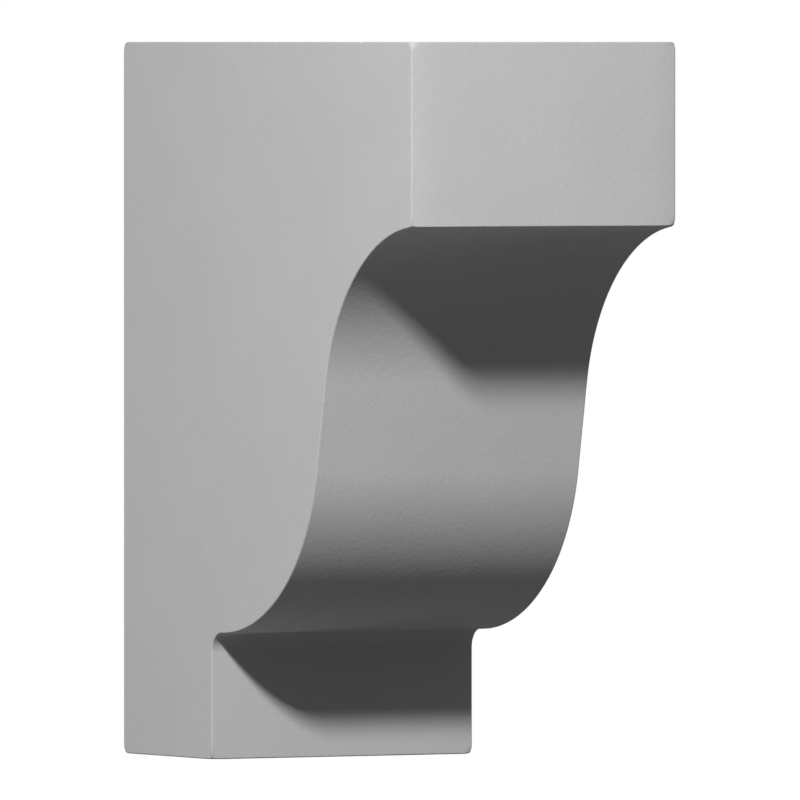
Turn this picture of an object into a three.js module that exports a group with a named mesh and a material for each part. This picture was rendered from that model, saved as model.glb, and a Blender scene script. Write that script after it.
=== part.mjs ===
import * as THREE from 'three';

// A cast urethane corbel in one piece: a square cap over a cove, a straight waist,
// an ovolo and a square foot, the same section all the way across its width.
// Millimetres, +Z up. The back lies on the wall plane y = 0 and the corbel stands out
// from the wall towards -Y. The origin is the middle of the back face.

// Across the wall
const width = 127;

// The profile from the top down, each member starting where the one above it ends
const capHeight = 77.3;
const lipFallDegrees = 4.1; // the cove has already turned down this far where it leaves the cap
const coveRadius = 82.6;
const waistLength = 39.1;
const waistLeanDegrees = 11.2; // the straight waist leans this far off plumb
const ovoloRadius = 85.6;
const neckFilletRadius = 8.2;
const footHeight = 53.8; // up to the underside of the ovolo
const footDepth = 79.1; // out from the wall

// Edges as the mould leaves them
const arrisRadius = 0.5;
const cornerLand = 0.3; // what is left of an outline corner where two rounded arrises meet
const arrisSteps = 4;
const facetSag = 0.02; // most that a flat facet cuts inside its true arc

const degree = Math.PI / 180;
const quarter = Math.PI / 2;
const lipFall = lipFallDegrees * degree;
const waistFall = quarter - waistLeanDegrees * degree;

// How far each member goes back towards the wall, and how far down
const coveRun = coveRadius * (Math.sin(waistFall) - Math.sin(lipFall));
const coveDrop = coveRadius * (Math.cos(lipFall) - Math.cos(waistFall));
const waistRun = waistLength * Math.cos(waistFall);
const waistDrop = waistLength * Math.sin(waistFall);
const ovoloRun = ovoloRadius * Math.sin(waistFall);
const ovoloDrop = ovoloRadius * (1 - Math.cos(waistFall));

const projection = footDepth + neckFilletRadius + ovoloRun + waistRun + coveRun;
const height = capHeight + coveDrop + waistDrop + ovoloDrop + footHeight;
const top = height / 2;
const bottom = -height / 2;

// The points along an arc, in the direction in which its angle goes
function arc(centre, radius, from, to) {
  const step = 2 * Math.acos(1 - facetSag / radius);
  const count = Math.ceil(Math.abs(to - from) / step);
  const clockwise = to < from;
  const curve = new THREE.EllipseCurve(centre.x, centre.y, radius, radius, from, to, clockwise);
  return curve.getPoints(count);
}

// The side outline, x out from the wall and y up, clockwise from the top of the back
function corbelOutline() {
  const cornerRadius = arrisRadius + cornerLand;
  const backX = cornerRadius;
  const frontX = projection - cornerRadius;
  const neckX = footDepth + neckFilletRadius;
  const soffitY = bottom + footHeight;

  const coveCentre = new THREE.Vector2(
    projection + coveRadius * Math.sin(lipFall),
    top - capHeight - coveRadius * Math.cos(lipFall),
  );
  const ovoloCentre = new THREE.Vector2(neckX, soffitY + ovoloRadius);
  const neckCentre = new THREE.Vector2(neckX, soffitY - neckFilletRadius);

  // The cap's lower arris touches the cap's face and, from outside, the circle of the cove
  const reach = coveRadius + cornerRadius;
  const ahead = coveCentre.x - frontX;
  const lipCentre = new THREE.Vector2(frontX, coveCentre.y + Math.sqrt(reach ** 2 - ahead ** 2));
  const lipEnd = Math.atan2(coveCentre.y - lipCentre.y, ahead);

  const topBack = new THREE.Vector2(backX, top - cornerRadius);
  const topFront = new THREE.Vector2(frontX, top - cornerRadius);
  const footFront = new THREE.Vector2(footDepth - cornerRadius, bottom + cornerRadius);
  const footBack = new THREE.Vector2(backX, bottom + cornerRadius);

  // The cove and the neck start on the last point of the arc before, so that point is dropped
  return new THREE.Shape([
    ...arc(topBack, cornerRadius, Math.PI, quarter),
    ...arc(topFront, cornerRadius, quarter, 0),
    ...arc(lipCentre, cornerRadius, 0, lipEnd),
    ...arc(coveCentre, coveRadius, lipEnd + Math.PI, quarter + waistFall).slice(1),
    ...arc(ovoloCentre, ovoloRadius, waistFall - quarter, -quarter),
    ...arc(neckCentre, neckFilletRadius, quarter, Math.PI).slice(1),
    ...arc(footFront, cornerRadius, 0, -quarter),
    ...arc(footBack, cornerRadius, -quarter, -Math.PI),
  ]);
}

// The outline carried across the width, with both side faces rounded into it
function corbelGeometry() {
  const geometry = new THREE.ExtrudeGeometry(corbelOutline(), {
    depth: width - 2 * arrisRadius,
    bevelEnabled: true,
    bevelThickness: arrisRadius,
    bevelSize: arrisRadius,
    bevelOffset: -arrisRadius,
    bevelSegments: arrisSteps,
  });
  geometry.translate(0, 0, arrisRadius - width / 2);

  // Turned from the outline's plane: out from the wall becomes -Y and up becomes +Z
  const outward = new THREE.Vector3(0, -1, 0);
  const upward = new THREE.Vector3(0, 0, 1);
  const across = new THREE.Vector3(-1, 0, 0);
  return geometry.applyMatrix4(new THREE.Matrix4().makeBasis(outward, upward, across));
}

// Urethane with a matt light grey primer
const primedUrethane = new THREE.MeshStandardMaterial({
  color: 0xbababa,
  roughness: 0.62,
  metalness: 0,
});

const corbel = new THREE.Mesh(corbelGeometry(), primedUrethane);
corbel.name = 'corbel';

const group = new THREE.Group();
group.add(corbel);

export default group;
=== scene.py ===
import math

import bmesh
import bpy
import numpy as np
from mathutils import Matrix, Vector


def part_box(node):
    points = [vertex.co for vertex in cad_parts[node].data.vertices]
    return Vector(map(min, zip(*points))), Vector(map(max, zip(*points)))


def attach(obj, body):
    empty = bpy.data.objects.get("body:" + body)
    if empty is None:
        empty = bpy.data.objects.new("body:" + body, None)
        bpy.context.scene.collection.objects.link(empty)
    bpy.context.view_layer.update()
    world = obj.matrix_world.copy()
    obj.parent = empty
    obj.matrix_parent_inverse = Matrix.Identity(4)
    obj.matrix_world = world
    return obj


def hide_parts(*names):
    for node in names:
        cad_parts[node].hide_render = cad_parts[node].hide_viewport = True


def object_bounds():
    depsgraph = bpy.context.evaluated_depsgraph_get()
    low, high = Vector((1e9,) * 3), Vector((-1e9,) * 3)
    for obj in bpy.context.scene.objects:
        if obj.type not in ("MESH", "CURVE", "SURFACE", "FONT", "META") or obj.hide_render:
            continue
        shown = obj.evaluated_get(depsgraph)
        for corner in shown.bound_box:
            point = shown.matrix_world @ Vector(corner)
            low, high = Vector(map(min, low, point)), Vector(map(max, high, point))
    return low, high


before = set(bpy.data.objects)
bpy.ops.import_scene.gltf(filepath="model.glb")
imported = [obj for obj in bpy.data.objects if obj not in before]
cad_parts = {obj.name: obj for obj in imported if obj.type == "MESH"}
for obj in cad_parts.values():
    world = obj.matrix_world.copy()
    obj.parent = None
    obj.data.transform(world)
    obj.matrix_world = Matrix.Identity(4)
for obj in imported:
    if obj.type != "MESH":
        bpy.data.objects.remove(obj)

# A primed urethane corbel, cast in one piece and photographed on pure white.
# Metres, +Z up. The back lies on the wall plane y = 0 and the corbel stands out towards -Y.

mm = 0.001
quarterTurn = math.pi / 2
sameSpot = 0.001    # millimetres: points this close are one
cadBox = [list(corner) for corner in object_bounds()]
scene = bpy.context.scene
print("frame loaded:", sorted(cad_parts))


def linearColour(hexText):
    # sRGB hex to linear: a channel under the toe is divided by 12.92, the rest follow a power of 2.4
    srgb = np.array([int(hexText[i:i + 2], 16) for i in (1, 3, 5)]) / 255
    linear = np.where(srgb <= 0.04045, srgb / 12.92, ((srgb + 0.055) / 1.055) ** 2.4)
    return (*linear.tolist(), 1.0)


def addNode(tree, kind, values=None, links=None, **settings):
    # One node: its settings, the values of its inputs and the outputs that feed the others
    node = tree.nodes.new(kind)
    for name, value in settings.items():
        setattr(node, name, value)
    for name, value in (values or {}).items():
        node.inputs[name].default_value = value
    for name, source in (links or {}).items():
        tree.links.new(source, node.inputs[name])
    return node


# The camera stands level with the top of the corbel, far off, nearly 30 degrees round to its left

photographView = {
    "lens": 822.4,
    "sensor": 36.0,
    "turn": 28.609,                         # degrees off square to the front
    "distance": 7.8589,                     # from the wall plane's upright centre line
    "aim": (0.05499, -0.0307, -0.00163),    # the point that falls in the middle of the frame
    "nearest": 0.1,
    "farthest": 200.0,
}


def makeCamera(view):
    data = bpy.data.cameras.new("photographCamera")
    data.lens = view["lens"]
    data.sensor_width = view["sensor"]
    data.clip_start = view["nearest"]
    data.clip_end = view["farthest"]
    camera = bpy.data.objects.new("photographCamera", data)
    scene.collection.objects.link(camera)
    turn = math.radians(view["turn"])
    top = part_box("corbel")[1].z
    stand = Vector((-view["distance"] * math.sin(turn), -view["distance"] * math.cos(turn), top))
    camera.location = stand
    camera.rotation_mode = "QUATERNION"
    camera.rotation_quaternion = (Vector(view["aim"]) - stand).to_track_quat("-Z", "Y")
    scene.camera = camera


makeCamera(photographView)
print("camera placed")


# The casting, in millimetres. Its width, projection and height come from the frame.

castingSize = {
    "arrisRadius": 0.5,     # every edge, as the mould leaves it
    "capHeight": 77.3,
    "lipFall": 4.1,         # degrees the cove has already turned down where it leaves the cap
    "coveRadius": 82.6,
    "waistLength": 39.1,
    "waistLean": 11.2,      # degrees off plumb
    "ovoloRadius": 85.6,
    "neckFillet": 8.2,
    "spacing": 2.4,         # from row to row of the surface
    "endRows": (0.3, 0.8, 1.5, 2.5, 4.0),   # closer rows by the end of a flat, this far from it
    "arrisSteps": 6,
    "sideColumns": 50,      # across each side face
    "waviness": 0.03,       # how far the faces wander inwards, as cast faces do
    "waveLength": 110.0,
    "rubbing": 0.08,        # how much further the arrises are rubbed down in places
    "rubbingLength": 24.0,
    "capFall": 0.5,         # the face of the cap falls off this much towards its upright arrises
    "capFallReach": 12.0,   # from each side
    "capFallDepth": 8.0,    # and the cap behind it follows this far back
    "cornerWear": 1.1,      # how far the square corners are rubbed in along their diagonals
    "cornerReach": 4.0,
    "seed": 11,
}


def flatSteps(lengths, count, endRows):
    # Distances along flats of one or more lengths: nought, the close end rows, even steps between them
    # and the far end rows, and the length itself
    ends = np.asarray(lengths, float)[..., None]
    starts = np.zeros_like(ends)
    near = starts + np.array(endRows)
    between = near[..., -1:] + np.linspace(0, 1, count)[1:-1] * (ends - 2 * near[..., -1:])
    return np.concatenate([starts, near, between, ends - near[..., ::-1], ends], -1)


def flatRun(start, end, normal, size, count=None):
    # A straight stretch of the outline: the start plus distance times direction, with one normal throughout
    start, end = np.array(start), np.array(end)
    length = np.linalg.norm(end - start)
    steps = flatSteps(length, count or round(length / size["spacing"]), size["endRows"])
    points = start + steps[:, None] * (end - start) / length
    return points, np.tile(np.array(normal, float), (len(points), 1)), np.zeros(len(points))


def arcRun(centre, radius, start, end, count, side=1, arris=0):
    # A round stretch: the centre plus radius times (cosine, sine). In a hollow (side -1) the normal points
    # to the centre. The last array is a half sine along an arris, and nought elsewhere.
    angles = np.linspace(start, end, count + 1)
    spokes = np.stack([np.cos(angles), np.sin(angles)], 1)
    share = arris * np.sin(np.linspace(0, math.pi, count + 1))
    return np.array(centre) + radius * spokes, side * spokes, share


def joinRuns(runs):
    # The points, normals and arris shares of several runs, end to end
    return [np.concatenate(parts) for parts in zip(*runs)]


def frontRuns(size, projection, height):
    # The front of the outline from the top down: how far out from the wall, how far up.
    # Cap, lip, cove, waist, ovolo, neck and foot each start where the last one ends, with its slope.
    arris, steps = size["arrisRadius"], size["arrisSteps"]
    lip = math.radians(size["lipFall"])
    slope = quarterTurn - math.radians(size["waistLean"])
    cove, ovolo, neck = size["coveRadius"], size["ovoloRadius"], size["neckFillet"]
    top, bottom = height / 2, -height / 2
    across = np.array([-math.sin(slope), math.cos(slope)])    # square to the waist, into the corbel
    along = np.array([math.cos(slope), math.sin(slope)])      # up the waist

    coveCentre = np.array([projection + cove * math.sin(lip), top - size["capHeight"] - cove * math.cos(lip)])
    waistTop = coveCentre + cove * across
    waistFoot = waistTop - size["waistLength"] * along
    ovoloCentre = waistFoot + ovolo * across
    neckCentre = ovoloCentre - np.array([0, ovolo + neck])
    footDepth = neckCentre[0] - neck

    # The lip is a small arc that touches the cap's face and, from outside, the circle of the cove.
    lipX = projection - arris
    lipY = coveCentre[1] + math.sqrt((cove + arris) ** 2 - (coveCentre[0] - lipX) ** 2)
    lipEnd = math.atan2(coveCentre[1] - lipY, coveCentre[0] - lipX)

    runs = joinRuns([
        flatRun((projection, top - arris), (projection, lipY), (1, 0), size),
        arcRun((lipX, lipY), arris, 0, lipEnd, steps, arris=1),
        arcRun(coveCentre, cove, lipEnd + math.pi, quarterTurn + slope,
               round(cove * (slope - lip) / size["spacing"]), side=-1),
        flatRun(waistTop, waistFoot, -across, size),
        arcRun(ovoloCentre, ovolo, slope - quarterTurn, -quarterTurn,
               round(ovolo * slope / size["spacing"])),
        arcRun(neckCentre, neck, quarterTurn, math.pi, 2 * steps, side=-1),
        flatRun((footDepth, neckCentre[1]), (footDepth, bottom + arris), (1, 0), size),
    ])
    return runs, footDepth


def wholeOutline(size, projection, height):
    # The closed outline, clockwise from the top of the back, and the front edge of a side face.
    # The back has a row for each row of the front, so that a side face is a plain grid between the two.
    arris, steps, columns = size["arrisRadius"], size["arrisSteps"], size["sideColumns"]
    top, bottom = height / 2, -height / 2
    front, footDepth = frontRuns(size, projection, height)
    edge = front[0] - arris * front[1]
    edge = edge[np.append(True, np.linalg.norm(np.diff(edge, axis=0), axis=1) > sameSpot)]
    climb = edge[::-1, 1]
    still = np.zeros_like(climb)
    back = np.stack([still, climb], 1), np.tile((-1.0, 0.0), (len(climb), 1)), still
    outline = joinRuns([
        arcRun((arris, top - arris), arris, math.pi, quarterTurn, steps, arris=1),
        flatRun((arris, top), (projection - arris, top), (0, 1), size, columns),
        arcRun((projection - arris, top - arris), arris, quarterTurn, 0, steps, arris=1),
        front,
        arcRun((footDepth - arris, bottom + arris), arris, 0, -quarterTurn, steps, arris=1),
        flatRun((footDepth - arris, bottom), (arris, bottom), (0, -1), size, columns),
        arcRun((arris, bottom + arris), arris, -quarterTurn, -math.pi, steps, arris=1),
        back,
    ])
    return outline, edge


def slowWaves(points, length, seed, count=7, shortest=0.6, longest=1.6):
    # A smooth wander between 0 and 1: the mean of sine waves in random directions, each of a length
    # between shortest and longest times the one given, halved and raised by a half
    random = np.random.default_rng(seed)
    directions = random.normal(size=(3, count))
    directions /= np.linalg.norm(directions, axis=0)
    waves = directions * 2 * math.pi / (length * random.uniform(shortest, longest, count))
    return 0.5 + np.sin(points @ waves + random.uniform(0, 2 * math.pi, count)).mean(-1) / 2


def easeCap(points, width, projection, size):
    # The front of the cap moves back by capFall times (1 - distance from the side / capFallReach) squared
    # times (1 - distance from the front / capFallDepth) squared
    side = np.clip(1 - (width / 2 - np.abs(points[..., 0])) / size["capFallReach"], 0, 1) ** 2
    front = np.clip(1 - (projection + points[..., 1]) / size["capFallDepth"], 0, 1) ** 2
    return points + (size["capFall"] * side * front)[..., None] * np.array([0.0, 1.0, 0.0])


def wearCorners(points, corners, size):
    # Points near a corner move inside along its diagonal, by cornerWear times
    # (1 - distance from it / cornerReach) squared
    for corner, inside in corners:
        share = np.clip(1 - np.linalg.norm(points - corner, axis=-1) / size["cornerReach"], 0, 1) ** 2
        points = points + size["cornerWear"] * share[..., None] * np.array(inside) / math.sqrt(3)
    return points


def meshFromGrids(name, grids, shares):
    # Neighbouring points of each grid become four-sided faces. Points that coincide are merged, which
    # closes the seams and the poles at the corners, and the faces are turned outwards.
    faces, first = [], 0
    for grid in grids:
        index = first + np.arange(grid.shape[0] * grid.shape[1]).reshape(grid.shape[:2])
        fours = np.stack([index[:-1, :-1], index[1:, :-1], index[1:, 1:], index[:-1, 1:]], -1)
        faces.append(fours.reshape(-1, 4))
        first += index.size
    mesh = bpy.data.meshes.new(name)
    vertices = np.concatenate([grid.reshape(-1, 3) for grid in grids]) * mm
    mesh.from_pydata(vertices.tolist(), [], np.concatenate(faces).tolist())
    arris = mesh.attributes.new("arris", "FLOAT", "POINT")
    allShares = np.concatenate([share.ravel() for share in shares])
    arris.data.foreach_set("value", allShares.astype(np.float32))
    work = bmesh.new()
    work.from_mesh(mesh)
    bmesh.ops.remove_doubles(work, verts=work.verts, dist=sameSpot * mm)
    bmesh.ops.recalc_face_normals(work, faces=work.faces)
    openEdges = sum(not edge.is_manifold for edge in work.edges)
    work.to_mesh(mesh)
    work.free()
    mesh.shade_smooth()
    print(name, "faces:", len(mesh.polygons), "open edges:", openEdges)
    return mesh


def carryAcross(outline, width, size):
    # The skin is the outline carried across the width. Towards either side it turns in by
    # arrisRadius times (1 - cosine) as it goes out by arrisRadius times sine, which rounds the edge
    # into the side face and makes an eighth of a ball at each corner.
    arris = size["arrisRadius"]
    land = width - 2 * arris
    turn = np.linspace(quarterTurn, 0, size["arrisSteps"] + 1)
    middle = flatSteps(land, round(land / size["spacing"]), size["endRows"])[1:-1] - land / 2
    still = np.zeros_like(middle)
    x = np.concatenate([-land / 2 - arris * np.sin(turn), middle, land / 2 + arris * np.sin(turn[::-1])])
    inset = np.concatenate([arris * (1 - np.cos(turn)), still, arris * (1 - np.cos(turn[::-1]))])
    sideways = np.concatenate([-np.sin(turn), still, np.sin(turn[::-1])])

    points, normals, shares = (np.concatenate([part, part[:1]]) for part in outline)
    ring = points[:, None] - inset[:, None] * normals[:, None]
    x, sideways = (np.broadcast_to(part, ring.shape[:2]) for part in (x, sideways))
    facing = np.sqrt(1 - sideways ** 2)
    skin = np.stack([x, -ring[..., 0], ring[..., 1]], -1)
    skinNormals = np.stack([sideways, -normals[:, None, 0] * facing, normals[:, None, 1] * facing], -1)
    # A side arris counts by the sine of twice its turn, which is 1 halfway round
    skinShares = np.maximum(shares[:, None] * facing, 2 * np.abs(sideways) * facing)
    return skin, skinNormals, skinShares


def sideFace(edge, width, hand, size):
    # A flat grid at half the width to one side: at the height of each row of the outline it runs from
    # the back to the front edge
    arris = size["arrisRadius"]
    depth = arris + flatSteps(edge[:, 0] - arris, size["sideColumns"], size["endRows"])
    level = np.broadcast_to(edge[:, 1:], depth.shape)
    points = np.stack([np.full_like(depth, hand * width / 2), -depth, level], -1)
    return points, np.broadcast_to((hand, 0.0, 0.0), points.shape), np.zeros_like(depth)


def squareCorners(width, projection, height, footDepth, size):
    # The ends of the five square corners of the outline, each with the way to the inside
    top, bottom = height / 2, -height / 2
    profileCorners = (((0, top), (-1, -1)), ((projection, top), (1, -1)),
                      ((projection, top - size["capHeight"]), (1, 1)),
                      ((footDepth, bottom), (1, 1)), ((0, bottom), (-1, 1)))
    return [((hand * width / 2, -out, up), (-hand, back, rise))
            for hand in (-1, 1) for (out, up), (back, rise) in profileCorners]


def makeCasting(size):
    # Cast faces wander a little, always inwards, and handling and sanding take more off the arrises:
    # each point moves in along its normal by waviness times one slow wander, and by rubbing times its
    # share of an arris times another
    lowest, highest = (np.array(corner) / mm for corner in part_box("corbel"))
    width, projection, height = highest - lowest
    outline, edge = wholeOutline(size, projection, height)
    surfaces = [carryAcross(outline, width, size)]
    surfaces += [sideFace(edge, width, hand, size) for hand in (-1.0, 1.0)]
    corners = squareCorners(width, projection, height, edge[-1, 0] + size["arrisRadius"], size)
    grids = []
    for grid, normal, share in surfaces:
        wander = size["waviness"] * slowWaves(grid, size["waveLength"], size["seed"])
        rubbed = size["rubbing"] * share * slowWaves(grid, size["rubbingLength"], size["seed"] + 1)
        grid = grid - (wander + rubbed)[..., None] * normal
        grids.append(wearCorners(easeCap(grid, width, projection, size), corners, size))
    return meshFromGrids("casting", grids, [share for _, _, share in surfaces])


casting = bpy.data.objects.new("casting", makeCasting(castingSize))
scene.collection.objects.link(casting)
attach(casting, "root")
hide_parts("corbel")


# Moulded polyurethane with a sprayed primer: flat neutral grey, with the low orange peel that the spray
# leaves, a fine grit where it dried in the air, and darker arrises, partly where the coat has drawn thin and
# partly painted shade that dims the highlight the light puts on them.
# The back was struck off flat before it was primed: rubbing marks run up it, over small burst bubbles.

primerLook = {
    "colour": "#bbbbbb",
    "heavyColour": "#b9b9b9",       # in broad patches where the coat is heavier
    "thinCoatAndShadeColour": "#a0a0a0",        # on the arrises: a thin coat, and painted shade that dims their highlight
    "rubbedColour": "#aeaeae",      # in the rubbing marks, where the primer lies thin
    "poreColour": "#8e8e8e",        # down in the burst bubbles
    "patchSize": 38.0,              # millimetres, as all sizes here
    "patchLevels": (0.35, 0.65),    # noise levels at which a patch begins and is full
    "peelSize": 2.6,                # real spray peel is 1 to 3 mm across
    "peelHeight": 0.07,             # for the noise's full range: it seldom uses half of that
    "gritSize": 0.8,                # real grit is near 0.1 mm: drawn coarser, so that it shows
    "gritHeight": 0.05,
    "gritLevels": (0.3, 0.7),       # noise levels of the smoothest and the roughest spots
    "roughness": (0.55, 0.68),
    "ior": 1.5,
    "backDepth": 0.6,               # what lies this near the wall plane is the struck back
    "rubbingSize": (1.2, 90.0),     # marks across and along their run
    "rubbingHeight": 0.04,
    "furrowLevels": (0.6, 0.3),     # noise levels at which a furrow of the marks begins and is full
    "furrowGain": 1.5,              # fills the marks where a heavy patch is not yet full
    "poreSpacing": 9.0,
    "poreChance": 0.45,             # share of the cells that hold a burst bubble
    "poreSize": 1.1,                # radius of the widest
    "poreRim": 0.25,                # the part of that radius over which a pore slopes down
    "poreDepth": 0.5,
}


def makePrimer(look):
    material = bpy.data.materials.new("sprayedPrimerOnUrethane")
    material.use_nodes = True
    tree = material.node_tree
    tree.nodes.clear()
    place = addNode(tree, "ShaderNodeTexCoord").outputs["Object"]
    arris = addNode(tree, "ShaderNodeAttribute", attribute_name="arris").outputs["Fac"]

    # Where the struck back is: 1 within half of backDepth from the wall plane, nought past backDepth
    outwards = addNode(tree, "ShaderNodeSeparateXYZ", links={"Vector": place}).outputs["Y"]
    back = addNode(tree, "ShaderNodeMapRange",
                   {"From Min": -look["backDepth"] * mm, "From Max": -look["backDepth"] * mm / 2},
                   {"Value": outwards}).outputs["Result"]

    # Patterns
    patches = addNode(tree, "ShaderNodeTexNoise", {"Scale": 1 / (look["patchSize"] * mm), "Detail": 3.0},
                      {"Vector": place}).outputs["Fac"]
    peel = addNode(tree, "ShaderNodeTexNoise", {"Scale": 1 / (look["peelSize"] * mm), "Detail": 1.0},
                   {"Vector": place}).outputs["Fac"]
    grit = addNode(tree, "ShaderNodeTexNoise", {"Scale": 1 / (look["gritSize"] * mm), "Detail": 3.0},
                   {"Vector": place}).outputs["Fac"]
    fine, long = (1 / (size * mm) for size in look["rubbingSize"])
    drawnOut = addNode(tree, "ShaderNodeMapping", {"Scale": (fine, fine, long)}, {"Vector": place})
    marks = addNode(tree, "ShaderNodeTexNoise", {"Scale": 1.0, "Detail": 2.0},
                    {"Vector": drawnOut.outputs["Vector"]}).outputs["Fac"]
    cells = addNode(tree, "ShaderNodeTexVoronoi", {"Scale": 1 / (look["poreSpacing"] * mm)},
                    {"Vector": place})
    # A cell's random number sets the radius of its pore, and over half the cells have none. Lengths
    # here are shares of poreSpacing, as the cells' own distances are.
    chance = addNode(tree, "ShaderNodeSeparateXYZ", links={"Vector": cells.outputs["Color"]}).outputs["X"]
    widest = look["poreSize"] / look["poreSpacing"]
    radius = addNode(tree, "ShaderNodeMapRange",
                     {"From Min": 1 - look["poreChance"], "From Max": 1.0, "To Min": 0.0, "To Max": widest},
                     {"Value": chance}).outputs["Result"]
    within = addNode(tree, "ShaderNodeMath", links={0: radius, 1: cells.outputs["Distance"]},
                     operation="SUBTRACT")
    pore = addNode(tree, "ShaderNodeMapRange", {"From Min": 0.0, "From Max": look["poreRim"] * widest},
                   {"Value": within.outputs["Value"]}, interpolation_type="SMOOTHSTEP").outputs["Result"]
    pore = addNode(tree, "ShaderNodeMath", links={0: pore, 1: back}, operation="MULTIPLY").outputs["Value"]

    # Colour. A Mix node's colours go in at sockets 6 and 7 and come out at 2.
    begins, full = look["patchLevels"]
    patch = addNode(tree, "ShaderNodeMapRange", {"From Min": begins, "From Max": full},
                    {"Value": patches}).outputs["Result"]
    coat = addNode(tree, "ShaderNodeMix",
                   {6: linearColour(look["colour"]), 7: linearColour(look["heavyColour"])}, {0: patch},
                   data_type="RGBA").outputs[2]
    # The arrises are darkened: partly a thin coat, partly painted shade that dims their highlight
    thinCoatAndShade = addNode(tree, "ShaderNodeMath", links={0: arris, 1: grit},
                      operation="MULTIPLY").outputs["Value"]
    edged = addNode(tree, "ShaderNodeMix", {7: linearColour(look["thinCoatAndShadeColour"])}, {0: thinCoatAndShade, 6: coat},
                    data_type="RGBA").outputs[2]
    begins, full = look["furrowLevels"]
    furrow = addNode(tree, "ShaderNodeMapRange",
                     {"From Min": begins, "From Max": full, "To Max": look["furrowGain"]},
                     {"Value": marks}).outputs["Result"]
    rubbed = addNode(tree, "ShaderNodeMath", links={0: furrow, 1: back}, operation="MULTIPLY")
    rubbed = addNode(tree, "ShaderNodeMath", links={0: rubbed.outputs["Value"], 1: patch},
                     operation="MULTIPLY", use_clamp=True).outputs["Value"]
    struck = addNode(tree, "ShaderNodeMix", {7: linearColour(look["rubbedColour"])}, {0: rubbed, 6: edged},
                     data_type="RGBA").outputs[2]
    coloured = addNode(tree, "ShaderNodeMix", {7: linearColour(look["poreColour"])}, {0: pore, 6: struck},
                       data_type="RGBA").outputs[2]

    # Relief, each height in metres: peel and grit everywhere, rubbing marks and pores on the back
    heights = []
    for pattern, height, mask in ((peel, look["peelHeight"], None), (grit, look["gritHeight"], None),
                                  (marks, look["rubbingHeight"], back), (pore, -look["poreDepth"], None)):
        raised = addNode(tree, "ShaderNodeMath", {1: height * mm}, {0: pattern}, operation="MULTIPLY")
        if mask:
            raised = addNode(tree, "ShaderNodeMath", links={0: raised.outputs["Value"], 1: mask},
                             operation="MULTIPLY")
        heights.append(raised.outputs["Value"])
    relief = heights[0]
    for height in heights[1:]:
        relief = addNode(tree, "ShaderNodeMath", links={0: relief, 1: height},
                         operation="ADD").outputs["Value"]
    bump = addNode(tree, "ShaderNodeBump", {"Strength": 1.0, "Distance": 1.0}, {"Height": relief})

    low, high = look["gritLevels"]
    smoothest, roughest = look["roughness"]
    rough = addNode(tree, "ShaderNodeMapRange",
                    {"From Min": low, "From Max": high, "To Min": smoothest, "To Max": roughest},
                    {"Value": grit})
    shader = addNode(tree, "ShaderNodeBsdfPrincipled", {"IOR": look["ior"]},
                     {"Base Color": coloured, "Roughness": rough.outputs["Result"],
                      "Normal": bump.outputs["Normal"]})
    addNode(tree, "ShaderNodeOutputMaterial", links={"Surface": shader.outputs["BSDF"]})
    return material


casting.data.materials.append(makePrimer(primerLook))
print("casting primed")


# The studio: a pale floor and backdrop that stay pure white, one soft key light in front, above and to
# the left, a weak fill from low on the left and a little behind, a broad light behind on the right, for
# the faces that the photograph doesn't show, and a dim surround that is lighter behind, above and to
# the right

studio = {
    "floorLevel": -1.3,
    "floorReach": 20.0,
    "white": "#ffffff",
    "ambient": 0.152,                       # radiance of the surround, all round
    "ambientLean": (0.031, 0.050, 0.027),   # and what the direction adds to it, along each axis
    "keyPlace": (-1.099, -1.378, 1.107),
    "keySize": (0.186, 0.172),              # across and up
    "keyPower": 48.9,
    "fillPlace": (-1.096, 0.52, -0.602),
    "fillSize": (0.3, 0.3),
    "fillPower": 2.07,
    "backPlace": (1.5, 2.8, 0.3),
    "backSize": (1.0, 1.0),
    "backPower": 55.0,
}


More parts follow.
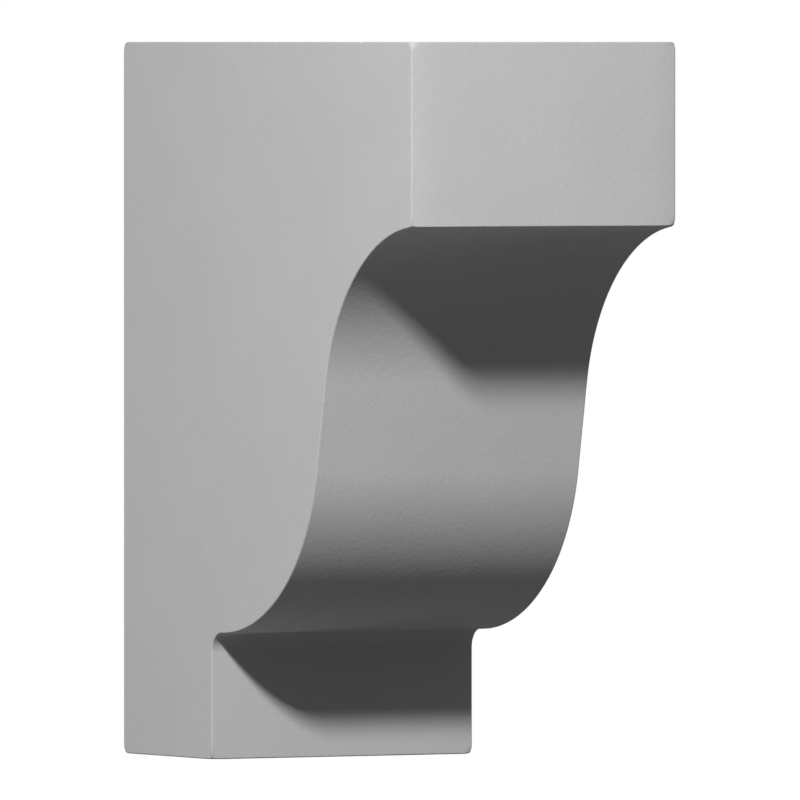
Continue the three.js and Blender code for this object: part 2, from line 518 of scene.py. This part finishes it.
def makeFloor(look):
    # A flat square that stays white however the lights fall. Only its upper side shows, and nothing is
    # lit or shaded by it.
    reach, level = look["floorReach"], look["floorLevel"]
    mesh = bpy.data.meshes.new("floor")
    mesh.from_pydata([(-reach, -reach, level), (reach, -reach, level), (reach, reach, level),
                      (-reach, reach, level)], [], [(0, 1, 2, 3)])
    floor = bpy.data.objects.new("floor", mesh)
    scene.collection.objects.link(floor)
    material = bpy.data.materials.new("whiteFloor")
    material.use_nodes = True
    tree = material.node_tree
    tree.nodes.clear()
    under = addNode(tree, "ShaderNodeNewGeometry").outputs["Backfacing"]
    lit = addNode(tree, "ShaderNodeEmission", {"Color": linearColour(look["white"])})
    clear = addNode(tree, "ShaderNodeBsdfTransparent")
    either = addNode(tree, "ShaderNodeMixShader",
                     links={0: under, 1: lit.outputs["Emission"], 2: clear.outputs["BSDF"]})
    addNode(tree, "ShaderNodeOutputMaterial", links={"Surface": either.outputs["Shader"]})
    mesh.materials.append(material)
    floor.visible_diffuse = False
    floor.visible_glossy = False
    floor.visible_shadow = False


def makeSurround(look):
    # The camera sees plain white. What lights the corbel is ambient plus ambientLean times the direction.
    world = bpy.data.worlds.new("surround")
    world.use_nodes = True
    scene.world = world
    tree = world.node_tree
    tree.nodes.clear()
    direction = addNode(tree, "ShaderNodeTexCoord").outputs["Generated"]
    lean = addNode(tree, "ShaderNodeVectorMath", {1: look["ambientLean"]}, {0: direction},
                   operation="DOT_PRODUCT")
    dim = addNode(tree, "ShaderNodeMath", {1: look["ambient"]}, {0: lean.outputs["Value"]}, operation="ADD")
    surround = addNode(tree, "ShaderNodeBackground", {"Color": linearColour(look["white"])},
                       {"Strength": dim.outputs["Value"]})
    backdrop = addNode(tree, "ShaderNodeBackground", {"Color": linearColour(look["white"])})
    seen = addNode(tree, "ShaderNodeLightPath").outputs["Is Camera Ray"]
    either = addNode(tree, "ShaderNodeMixShader",
                     links={0: seen, 1: surround.outputs["Background"], 2: backdrop.outputs["Background"]})
    addNode(tree, "ShaderNodeOutputWorld", links={"Surface": either.outputs["Shader"]})


def makeLight(name, place, size, power, target):
    data = bpy.data.lights.new(name, "AREA")
    data.shape = "RECTANGLE"
    data.size, data.size_y = size
    data.energy = power
    light = bpy.data.objects.new(name, data)
    scene.collection.objects.link(light)
    light.location = place
    light.rotation_mode = "QUATERNION"
    light.rotation_quaternion = (target - Vector(place)).to_track_quat("-Z", "Y")
    light.visible_camera = False


makeFloor(studio)
makeSurround(studio)
middle = (Vector(cadBox[0]) + Vector(cadBox[1])) / 2
makeLight("keyLight", studio["keyPlace"], studio["keySize"], studio["keyPower"], middle)
makeLight("fillLight", studio["fillPlace"], studio["fillSize"], studio["fillPower"], middle)
makeLight("backLight", studio["backPlace"], studio["backSize"], studio["backPower"], middle)
scene.view_settings.view_transform = "Standard"
print("studio lit")
